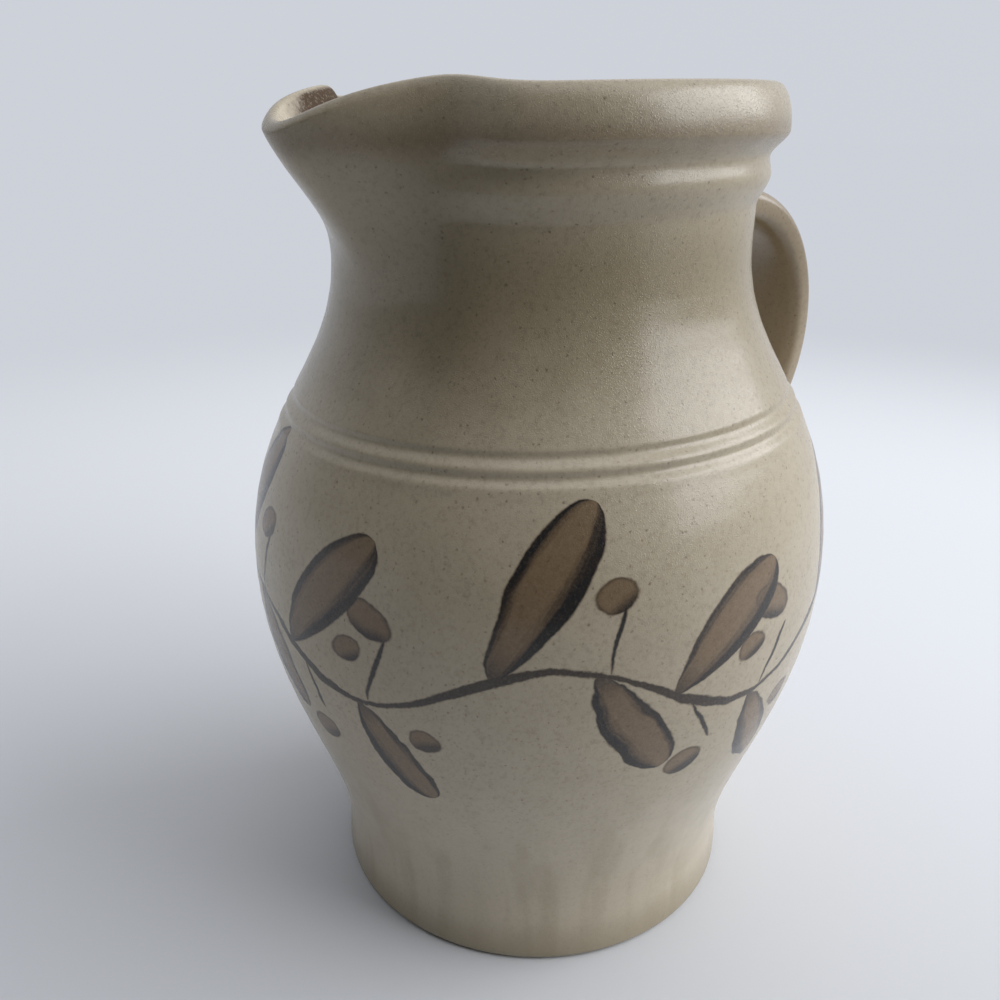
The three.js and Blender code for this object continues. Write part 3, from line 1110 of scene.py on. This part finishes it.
    def specked(self, at: GlazePlace, colour: Value) -> tuple[Value, Value]:
        """Colour with mottling and specks of iron.

        Args:
            at: Place on the piece.
            colour: Colour of the glaze.

        Returns:
            The new colour, and the mask of the finest specks.
        """
        nodes = at.nodes
        shift = nodes.noise(at.point, self.speck_shift).output("Color")
        uneven = nodes.add("ShaderNodeVectorMath", {"operation": "MULTIPLY_ADD"},
                           {0: shift, 1: (self.speck_warp,) * 3, 2: at.point})
        calm = at.z.rise(self.low_wall) * (1.0 - self.low_specks) + self.low_specks
        colour = nodes.mix(nodes.noise(uneven, self.mottling).rise(self.mottle) * calm, colour, self.iron)
        layers = (self.fine_specks, self.dots, self.large_specks)
        fine, dots, large = (self.specks(nodes, uneven, layer) for layer in layers)
        seen = [mask * layer.strength for mask, layer in zip((fine, dots, large), layers)]
        return nodes.mix(seen[0].most(seen[1]).most(seen[2]) * calm, colour, self.iron), fine

    def material(
        self, name: str, vine: Optional[BrushedVine] = None, painted_shade: float = 0.0
    ) -> bpy.types.Material:
        """Node material of the glaze.

        Args:
            name: Name of the material.
            vine: Painted band, on the body only.
            painted_shade: Share of tan that is added, as painted shade.

        Returns:
            The material.
        """
        material, nodes = node_material(name)
        at = self.place(nodes)
        colour = self.ground(at, painted_shade)
        dry: Operand = 0.0
        if vine is not None:
            inside = nodes.add("ShaderNodeAttribute", {"attribute_name": INSIDE}, None, "Fac")
            colour, stain_and_shade = self.rim_and_inside(at, inside, colour)
            dry = stain_and_shade * self.stain_shade_dryness
            colour = self.painted(at, vine, inside, colour)
        colour, fine = self.specked(at, colour)
        under = at.z.fall(self.bare_foot)
        colour = nodes.mix(under, colour, self.bare_clay)

        rough = at.grain.swing(self.grain_roughness) + at.cloud * self.cloud_roughness + self.roughness
        rough = rough + under * self.bare_roughness + at.z.rise(self.rim_roughness) + dry
        facets = nodes.noise(at.point, self.facets).rise(self.facet_height)
        height = nodes.noise(at.point, self.peel) * self.peel_height + facets - fine * self.speck_pit
        relief = {"Strength": 1.0, "Distance": self.grain_depth, "Height": height}
        bump = nodes.add("ShaderNodeBump", None, relief)
        shader = nodes.add("ShaderNodeBsdfPrincipled", None, {
            "Base Color": colour,
            "Roughness": rough.kept(self.least_roughness, 1.0),
            "Normal": bump,
            "IOR": self.ior,
        })
        nodes.add("ShaderNodeOutputMaterial", None, {"Surface": shader})
        return material


@dataclass
class ThrownBody:
    """Wheel-thrown body with the lip that is pulled out of its rim."""

    form: PitcherForm
    segments: int = 288
    lip_reach: float = 0.0131
    lip_dip: float = 0.0046
    lip_droop: float = 0.0005
    lip_angle: float = math.radians(19)
    pull_root_angle: float = math.radians(42)
    dip_angle: float = math.radians(11.5)
    pull_height: float = 0.046
    pull_curve: float = 2.8
    crown_drop: float = 0.0018  # the rim above this keeps its round section
    flank_angle: float = math.radians(29.5)
    flank_spread: float = math.radians(12)
    flank_press: float = 0.0024
    flank_rise: float = 0.0015
    collar_fade_angle: float = math.radians(22)
    rim_fade_angle: float = math.radians(31)
    fade_spread: float = math.radians(17)
    fade_start: float = 0.05  # share of the pull over which the pressing sets in
    ring_pitch: float = 0.0058  # one turn of the throwing spiral
    ring_depth: float = 0.00005
    inside_ring_depth: float = 0.00035
    ring_fade: float = 0.004  # the rings end over this height under the collar
    wobble: float = 0.0002  # unevenness left by the hands
    wobble_size: float = 0.045
    still_foot: Span = (0.004, 0.02)  # heights between which the unevenness sets in
    still_axis: Span = (0.004, 0.03)  # radii between which it sets in
    rows_before_top: float = 6.0  # the inside's mark starts this far before the rim's top
    rows_after_top: float = 34.0  # and is full this far after it

    def outline_mesh(self, rows: np.ndarray) -> bpy.types.Mesh:
        """Half outline as loose vertices, which the tree reads row by row.

        Args:
            rows: Rows of radius, pressed radius and height.

        Returns:
            The mesh.
        """
        mesh = bpy.data.meshes.new("half_outline")
        mesh.from_pydata(rows.tolist(), [], [])
        return mesh

    def build(self, material: bpy.types.Material) -> bpy.types.Object:
        """Turn the outline round the axis, and pull the lip.

        Args:
            material: Finish of the body.

        Returns:
            The body as a plain mesh.
        """
        form = self.form
        rows, top_row = form.outline()
        own_sizes = labelled(
            self, "lip_reach", "lip_dip", "lip_droop", "lip_angle", "pull_root_angle", "dip_angle",
            "pull_height", "pull_curve", "crown_drop", "flank_angle", "flank_spread", "flank_press",
            "flank_rise", "fade_spread", "ring_depth", "inside_ring_depth", "wobble")
        tree = GeometryTree("turned_body", {**own_sizes, **labelled(form, "lean")})
        nodes, size = tree.nodes, tree.size
        grid, row, column = tree.lattice(len(rows), self.segments + 1)
        angle = column * (FULL_TURN / self.segments)
        which = nodes.add("FunctionNodeFloatToInt", {"rounding_mode": "ROUND"}, {0: row})
        read = {"Geometry": tree.start, "Value": nodes.add("GeometryNodeInputPosition"), "Index": which}
        settings = {"data_type": "FLOAT_VECTOR", "domain": "POINT"}
        radius, pressed, height = nodes.separate(nodes.add("GeometryNodeSampleIndex", settings, read))
        inside = row.smooth(top_row - self.rows_before_top, top_row + self.rows_after_top)

        side = abs(nodes.math("ARCTAN2", angle.sine(), -angle.cosine()))
        start = form.rim_top - size("Pull height")
        along = ((height - start) / size("Pull height")).most(0.0)
        crown = 1.0 - size("Crown drop") / size("Pull height")
        flare = (along / crown).least(1.0) ** size("Pull curve")
        narrowing = height.smooth(start, form.crease_line)
        lip = side.bell(size("Pull root angle").towards(size("Lip angle"), narrowing))
        flank = (side - size("Flank angle")).bell(size("Flank spread"))

        rising = height.smooth(form.collar_line, form.rim_top)
        fade_angle = rising * (self.rim_fade_angle - self.collar_fade_angle) + self.collar_fade_angle
        plain = side.smooth(fade_angle, fade_angle + size("Fade spread"))
        thinned = radius.towards(pressed, (1.0 - plain) * along.smooth(0.0, self.fade_start))
        moved = thinned + flare * (size("Lip reach") * lip - size("Flank press") * flank)

        off_axis = radius.smooth(*self.still_axis)
        calm = (1.0 - height.smooth(form.collar_line - self.ring_fade, form.collar_line)) * off_axis
        ridge = (height * (FULL_TURN / self.ring_pitch) - angle).sine() * 0.5 + 0.5
        depth = size("Ring depth").towards(size("Inside ring depth"), inside)
        unround = nodes.combine(angle.cosine() * radius, angle.sine() * radius, height)
        uneven = nodes.noise(unround, Pattern(1.0 / self.wobble_size, 1.0))
        steady = height.smooth(*self.still_foot)
        settled = moved - ridge * depth * calm - uneven * size("Wobble") * steady * off_axis

        outer = ((radius - form.mouth_radius) / form.rim_width).kept(0.0, 1.0)
        dip = size("Lip dip") * side.bell(size("Dip angle"))
        droop = size("Lip droop") * lip * flare * outer
        lifted = height + along * (size("Flank rise") * flank - dip) - droop
        x, y = settled * angle.cosine(), settled * angle.sine()
        place = nodes.combine(x, y, lifted + size("Lean") * x * lifted.smooth(*form.leaning))
        return tree.piece("pitcher_body", grid, place, material, self.outline_mesh(rows), {INSIDE: inside})

    def dress(self, body: bpy.types.Object) -> None:
        """Tie the body to the frame.

        Args:
            body: The finished body.
        """
        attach(body, ROOT_BODY)
        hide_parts("thrown_body")


@dataclass
class StrapHandle:
    """Pulled strap of clay, from under the collar to the shoulder."""

    form: PitcherForm
    upper_root_drop: float = 0.0036
    lower_root_rise: float = 0.0105
    upper_arm: float = 0.0465
    lower_arm: float = 0.0325
    arm_angle: float = math.radians(13)
    width: float = 0.025
    thickness: float = 0.00885
    section_power: float = 0.62  # under 1 the section is fuller than an oval
    taper: float = 0.16
    root_flare: float = 0.0022
    root_flare_length: float = 0.007
    bury: float = 0.0012  # how far the ends run on into the wall
    steps: int = 150
    sides: int = 72
    path_steps: int = 256

    def controls(self) -> np.ndarray:
        """Control points of the centre line.

        Returns:
            Four rows of x, y and z, from the upper root to the lower one.
        """
        form = self.form
        heights = np.array([form.collar_line - self.upper_root_drop, form.belly_line + self.lower_root_rise])
        roots = form.wall_radius(heights) - form.wall / 2
        rise = np.array([math.cos(self.arm_angle), 0, math.sin(self.arm_angle)])
        upper, lower = (np.array([root, 0, height]) for root, height in zip(roots, heights))
        return np.array([upper, upper + rise * self.upper_arm, lower + rise * self.lower_arm, lower])

    def centre_line(self, count: int = 600) -> tuple[np.ndarray, np.ndarray, np.ndarray]:
        """Even points of the centre line.

        Args:
            count: Number of points.

        Returns:
            Points, directions and lengths from the upper end.
        """
        share = np.linspace(0, 1, count)[:, None]
        first, second, third, fourth = self.controls()
        curve = (first * (1 - share) ** 3 + second * 3 * share * (1 - share) ** 2
                 + third * 3 * share**2 * (1 - share) + fourth * share**3)
        reach = np.concatenate(([0], np.cumsum(np.linalg.norm(np.diff(curve, axis=0), axis=1))))
        even = np.linspace(0, reach[-1], count)
        points = np.column_stack([np.interp(even, reach, curve[:, axis]) for axis in range(3)])
        along = np.gradient(points, axis=0)
        return points, along / np.linalg.norm(along, axis=1, keepdims=True), even

    def section(
        self, from_start: np.ndarray, length: float, turn: np.ndarray
    ) -> tuple[np.ndarray, np.ndarray]:
        """Strap's section at lengths along it and turns round it.

        Args:
            from_start: Lengths from the upper end.
            length: Length of the whole strap.
            turn: Angles round the section.

        Returns:
            Distances outward and across.
        """
        from_end = np.minimum(from_start, length - from_start)
        swelling = self.root_flare * np.exp(-((from_end / self.root_flare_length) ** 2))
        slim = 1 - self.taper * (from_start / length)
        out = full_power(np.cos(turn), self.section_power)
        across = full_power(np.sin(turn), self.section_power)
        return out * (self.thickness / 2 * slim + swelling), across * (self.width / 2 * slim + swelling)

    def build(self, material: bpy.types.Material) -> bpy.types.Object:
        """Sweep the section along the centre line.

        Args:
            material: Finish of the strap.

        Returns:
            The strap as a plain mesh.
        """
        form = self.form
        length = float(self.centre_line()[2][-1])
        tree = GeometryTree("swept_strap", labelled(
            self, "width", "thickness", "taper", "root_flare", "root_flare_length", "bury"))
        nodes, size = tree.nodes, tree.size
        grid, row, column = tree.lattice(self.steps + 1, self.sides + 1)
        turn = column * (FULL_TURN / self.sides)
        open_steps = self.steps - 2.0  # the first and the last step close the ends
        run = (row - 1.0).kept(0.0, open_steps) / open_steps
        reach = run * (size("Bury") * 2.0 + length) - size("Bury")
        from_start = reach.kept(0.0, length)
        names = ("Start", "Start Handle", "End Handle", "End")
        ends = {name: tuple(point) for name, point in zip(names, self.controls())}
        path = nodes.add("GeometryNodeCurvePrimitiveBezierSegment", {"mode": "POSITION"},
                         {"Resolution": self.path_steps, **ends})
        sample = nodes.add("GeometryNodeSampleCurve", {"mode": "FACTOR"},
                           {"Curves": path, "Factor": from_start / length}, "Position")
        centre_x, _, centre_z = nodes.separate(sample)
        along_x, _, along_z = nodes.separate(sample.output("Tangent"))
        overrun = reach - from_start

        swelling = size("Root flare") * from_start.least(length - from_start).bell(size("Root flare length"))
        slim = 1.0 - size("Taper") * (from_start / length)
        whole = row.kept(0.0, 1.0) * (self.steps - row).kept(0.0, 1.0)
        out = turn.cosine().fuller(self.section_power) * (size("Thickness") * 0.5 * slim + swelling) * whole
        across = turn.sine().fuller(self.section_power) * (size("Width") * 0.5 * slim + swelling) * whole
        x = centre_x + along_x * overrun - along_z * out
        z = centre_z + along_z * overrun + along_x * out
        place = nodes.combine(x, across, z + x * z.smooth(*form.leaning) * form.lean)
        return tree.piece("handle", grid, place, material)

    def dress(self, strap: bpy.types.Object) -> None:
        """Tie the strap to the frame.

        Args:
            strap: The finished strap.
        """
        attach(strap, ROOT_BODY)
        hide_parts("handle_strap")


@dataclass
class SlipFillet:
    """Slip wiped smooth into the corner between the wall and one end of the strap."""

    form: PitcherForm
    handle: StrapHandle
    upper: bool
    reach: float = 0.0034  # width of the fillet on the strap and on the wall
    sink: float = 0.0003  # how far its edges run into both
    core_share: float = 0.5  # how far its core lies within both, as a share of the reach
    search_share: float = 0.4  # share of the strap that is searched for the wall
    halvings: int = 40
    sides: int = 96
    steps: int = 9

    def wall_gap(self, points: np.ndarray) -> np.ndarray:
        """Distance of points from the wall's outside, measured from the axis."""
        return np.hypot(points[:, 0], points[:, 1]) - self.form.outside_radius(points[:, 2])

    def onto_wall(self, points: np.ndarray, lift: float) -> np.ndarray:
        """Points moved straight out or in, to lie over the wall.

        Args:
            points: Rows of x, y and z.
            lift: How far over the wall.

        Returns:
            The moved rows.
        """
        radius = self.form.outside_radius(points[:, 2]) + lift
        scale = radius / np.hypot(points[:, 0], points[:, 1])
        return np.column_stack((points[:, 0] * scale, points[:, 1] * scale, points[:, 2]))

    def strap_points(self, from_start: np.ndarray, turn: np.ndarray, lift: float) -> np.ndarray:
        """Points on or over the strap's surface.

        Args:
            from_start: Lengths from the upper end.
            turn: Angles round the section.
            lift: How far over the surface.

        Returns:
            Rows of x, y and z.
        """
        centre, along, even = self.handle.centre_line()
        place, heading = (
            np.column_stack([np.interp(from_start, even, line[:, axis]) for axis in range(3)])
            for line in (centre, along)
        )
        out, across = self.handle.section(from_start, even[-1], turn)
        out = out + lift * np.cos(turn)
        across = across + lift * np.sin(turn)
        x = place[:, 0] - heading[:, 2] * out
        z = place[:, 2] + heading[:, 0] * out
        return np.column_stack((x, across, z))

    def build(self, name: str, material: bpy.types.Material) -> bpy.types.Object:
        """Closed ring of a hollow fillet round the strap's end.

        Args:
            name: Name of the piece.
            material: Finish of the slip.

        Returns:
            The ring as a mesh.
        """
        length = float(self.handle.centre_line()[2][-1])
        turn = np.linspace(0, FULL_TURN, self.sides, endpoint=False)
        low = np.zeros(self.sides)
        high = np.full(self.sides, length * self.search_share)
        for _ in range(self.halvings):
            middle = (low + high) / 2
            from_start = middle if self.upper else length - middle
            outside = self.wall_gap(self.strap_points(from_start, turn, 0.0)) > 0
            high = np.where(outside, middle, high)
            low = np.where(outside, low, middle)
        met = high if self.upper else length - high
        away = self.reach if self.upper else -self.reach
        within = -self.reach * self.core_share
        corner = self.strap_points(met, turn, 0.0)
        on_strap = self.strap_points(met + away, turn, -self.sink)
        on_wall = self.onto_wall(self.strap_points(met, turn, self.reach), -self.sink)
        core = self.onto_wall(self.strap_points(met, turn, within), within)

        share = np.linspace(0, 1, self.steps)[:, None, None]
        rows = on_strap * (1 - share) ** 2 + corner * 2 * share * (1 - share) + on_wall * share**2
        rings = np.concatenate((rows, core[None]))
        count = len(rings)
        points = self.form.leant(rings.reshape(-1, 3))
        faces = []
        for ring in range(count):
            for side in range(self.sides):
                after, beside = (ring + 1) % count, (side + 1) % self.sides
                faces.append((ring * self.sides + side, ring * self.sides + beside,
                              after * self.sides + beside, after * self.sides + side))
        mesh = bpy.data.meshes.new(name)
        mesh.from_pydata(points.tolist(), [], faces)
        mesh.materials.append(material)
        outward(mesh)
        return linked(name, mesh)

    def dress(self, fillet: bpy.types.Object) -> None:
        """Tie the fillet to the frame.

        Args:
            fillet: The finished fillet.
        """
        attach(fillet, ROOT_BODY)
        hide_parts("upper_slip_joint" if self.upper else "lower_slip_joint")


@dataclass
class Studio:
    """Pale floor, window light from the right, soft light from high up, a dark card and the camera."""

    camera_place: tuple[float, float, float] = (-0.1290, -0.1537, 0.1705)
    camera_heading: float = math.radians(-37.6)  # turn from +Y, to the right when negative
    camera_dip: float = math.radians(21.6)
    focal_share: float = 0.920  # focal length over the width of the image
    sensor_width: float = 36.0
    clip_start: float = 0.01
    floor_size: float = 40.0
    floor_tone: Colour = (0.66, 0.67, 0.69)
    floor_plain: Span = (0.30, 0.75)  # out to here it is plain, and from there on as the back wall
    back_tone: Colour = (0.61, 0.635, 0.69)
    front_tone: Colour = (0.14, 0.14, 0.14)
    back_rise: float = 0.6  # how far up the pale part of the room reaches
    back_turn: float = math.radians(4)  # the middle of the pale part, from the camera's heading
    back_spread: Span = (-0.1, 0.62)  # cosines between which the room turns pale
    card_tone: Colour = (0.06, 0.06, 0.06)
    card_distance: float = 0.30
    card_size: Span = (0.7, 0.58)
    card_lift: float = 0.02
    window_turn: float = math.radians(104)  # from the camera's heading, to the right
    window_rise: float = math.radians(32)
    window_distance: float = 2.5
    window_size: Span = (3.8, 1.65)
    window_power: float = 77.0
    window_tone: Colour = (0.97, 0.99, 1.03)
    sky_turn: float = math.radians(125)  # soft light from high up, on the window's side
    sky_rise: float = math.radians(60)
    sky_sharpness: float = 5.0
    sky_tone: Colour = (1.7, 1.72, 1.75)

    def direction(self, turn: float = 0.0, rise: float = 0.0) -> Vector:
        """Direction as the camera's heading sees it.

        Args:
            turn: Turn to the right of the heading.
            rise: Angle over the level.

        Returns:
            The direction, with length 1.
        """
        heading = self.camera_heading - turn
        level = Vector((-math.sin(heading), math.cos(heading), 0))
        return level * math.cos(rise) + Vector((0, 0, math.sin(rise)))

    def sheet(self, name: str, corners: list[Vector], material: bpy.types.Material) -> bpy.types.Object:
        """Flat sheet with four corners.

        Args:
            name: Name of the sheet.
            corners: Its corners in order.
            material: Its finish.

        Returns:
            The sheet.
        """
        mesh = bpy.data.meshes.new(name)
        mesh.from_pydata([tuple(corner) for corner in corners], [], [(0, 1, 2, 3)])
        mesh.materials.append(material)
        return linked(name, mesh)

    def aimed(
        self, name: str, data: bpy.types.ID, place: Vector, axis: str, towards: Vector
    ) -> bpy.types.Object:
        """Lamp or camera at a place.

        Args:
            name: Name of the object.
            data: The lamp or camera.
            place: Where it stands.
            axis: Its own axis that is turned.
            towards: Direction that the axis takes.

        Returns:
            The object.
        """
        made = linked(name, data)
        made.location = place
        made.rotation_mode = "QUATERNION"
        made.rotation_quaternion = towards.to_track_quat(axis, "Y")
        return made

    def floor(self) -> None:
        """Pale floor that catches the shadow."""
        material, nodes = node_material("pale_floor")
        place = nodes.add("ShaderNodeTexCoord", None, None, "Object")
        away = nodes.add("ShaderNodeVectorMath", {"operation": "LENGTH"}, {0: place}, "Value")
        near = nodes.add("ShaderNodeBsdfDiffuse", None, {"Color": rgba(self.floor_tone)})
        far = nodes.add("ShaderNodeEmission", None, {"Color": rgba(self.back_tone)})
        shader = nodes.add("ShaderNodeMixShader", None, {0: away.smooth(*self.floor_plain), 1: near, 2: far})
        nodes.add("ShaderNodeOutputMaterial", None, {"Surface": shader})
        half = self.floor_size / 2
        corners = [Vector((-half, -half, 0)), Vector((half, -half, 0)), Vector((half, half, 0)),
                   Vector((-half, half, 0))]
        floor = self.sheet("floor", corners, material)

    def card(self) -> None:
        """Dark card behind the camera, which keeps light off the front. The camera doesn't see it."""
        material, nodes = node_material("dark_card")
        shader = nodes.add("ShaderNodeBsdfDiffuse", None, {"Color": rgba(self.card_tone)})
        nodes.add("ShaderNodeOutputMaterial", None, {"Surface": shader})
        width, height = self.card_size
        middle = self.direction(math.pi) * self.card_distance + Vector((0, 0, self.card_lift))
        side = self.direction(math.pi / 2) * (width / 2)
        up = Vector((0, 0, height))
        corners = [middle - side, middle + side, middle + side + up, middle - side + up]
        card = self.sheet("dark_card", corners, material)
        card.visible_camera = False

    def world(self) -> None:
        """Soft light of the room: pale behind the pitcher, dim in front of it, bright high up."""
        world = bpy.data.worlds.new("room")
        world.use_nodes = True
        nodes = Nodes(world.node_tree)
        sight = nodes.add("ShaderNodeTexCoord", None, None, "Generated")
        back_and_up = (self.direction(self.back_turn) + Vector((0, 0, self.back_rise))).normalized()
        pale = nodes.facing(sight, back_and_up).smooth(*self.back_spread)
        near_sky = nodes.facing(sight, self.direction(self.sky_turn, self.sky_rise))
        glow = ((near_sky - 1.0) * self.sky_sharpness).math("EXPONENT")
        colour = nodes.mix(glow, nodes.mix(pale, self.front_tone, self.back_tone), self.sky_tone)
        light = nodes.add("ShaderNodeBackground", None, {"Color": colour, "Strength": 1.0})
        nodes.add("ShaderNodeOutputWorld", None, {"Surface": light})
        bpy.context.scene.world = world

    def window(self) -> None:
        """Large soft lamp, high on the handle's side."""
        lamp = bpy.data.lights.new("window", "AREA")
        lamp.shape = "RECTANGLE"
        lamp.size, lamp.size_y = self.window_size
        lamp.energy = self.window_power
        lamp.color = self.window_tone
        towards = self.direction(self.window_turn, self.window_rise)
        self.aimed("window", lamp, towards * self.window_distance, "Z", towards)

    def camera(self) -> None:
        """Camera at the photograph's place."""
        lens = bpy.data.cameras.new("photo_camera")
        lens.sensor_width = self.sensor_width
        lens.lens = self.sensor_width * self.focal_share
        lens.clip_start = self.clip_start
        look = self.direction(rise=-self.camera_dip)
        bpy.context.scene.camera = self.aimed("photo_camera", lens, Vector(self.camera_place), "-Z", look)

    def build(self) -> None:
        """Make all of it."""
        bpy.context.scene.view_settings.view_transform = "Standard"
        self.camera()
        self.floor()
        self.card()
        self.world()
        self.window()


def report(piece: bpy.types.Object) -> None:
    """Log a piece with its number of triangles."""
    triangles = sum(len(polygon.vertices) - 2 for polygon in piece.data.polygons)
    LOG.info("%s: %d triangles", piece.name, triangles)


def main() -> None:
    """Build the studio and the pitcher, piece by piece."""
    logging.basicConfig(level=logging.INFO, format="%(name)s: %(message)s")
    Studio().build()
    form = PitcherForm()
    glaze = SatinGlaze()
    # Darker copy of the glaze: painted shade on the strap and on its slip.
    shaded_glaze = SatinGlaze(
        pale=(0.370, 0.300, 0.210), tan=(0.300, 0.238, 0.157), olive=(0.200, 0.153, 0.089))
    slip = shaded_glaze.material("luting_slip", painted_shade=0.15)

    body = ThrownBody(form)
    thrown = body.build(glaze.material("glazed_body", BrushedVine()))
    body.dress(thrown)
    report(thrown)

    handle = StrapHandle(form)
    strap = handle.build(shaded_glaze.material("glazed_handle", painted_shade=0.3))
    handle.dress(strap)
    report(strap)

    for name, upper in (("upper_slip", True), ("lower_slip", False)):
        fillet = SlipFillet(form, handle, upper)
        ring = fillet.build(name, slip)
        fillet.dress(ring)
        report(ring)


if __name__ == "__main__":
    main()
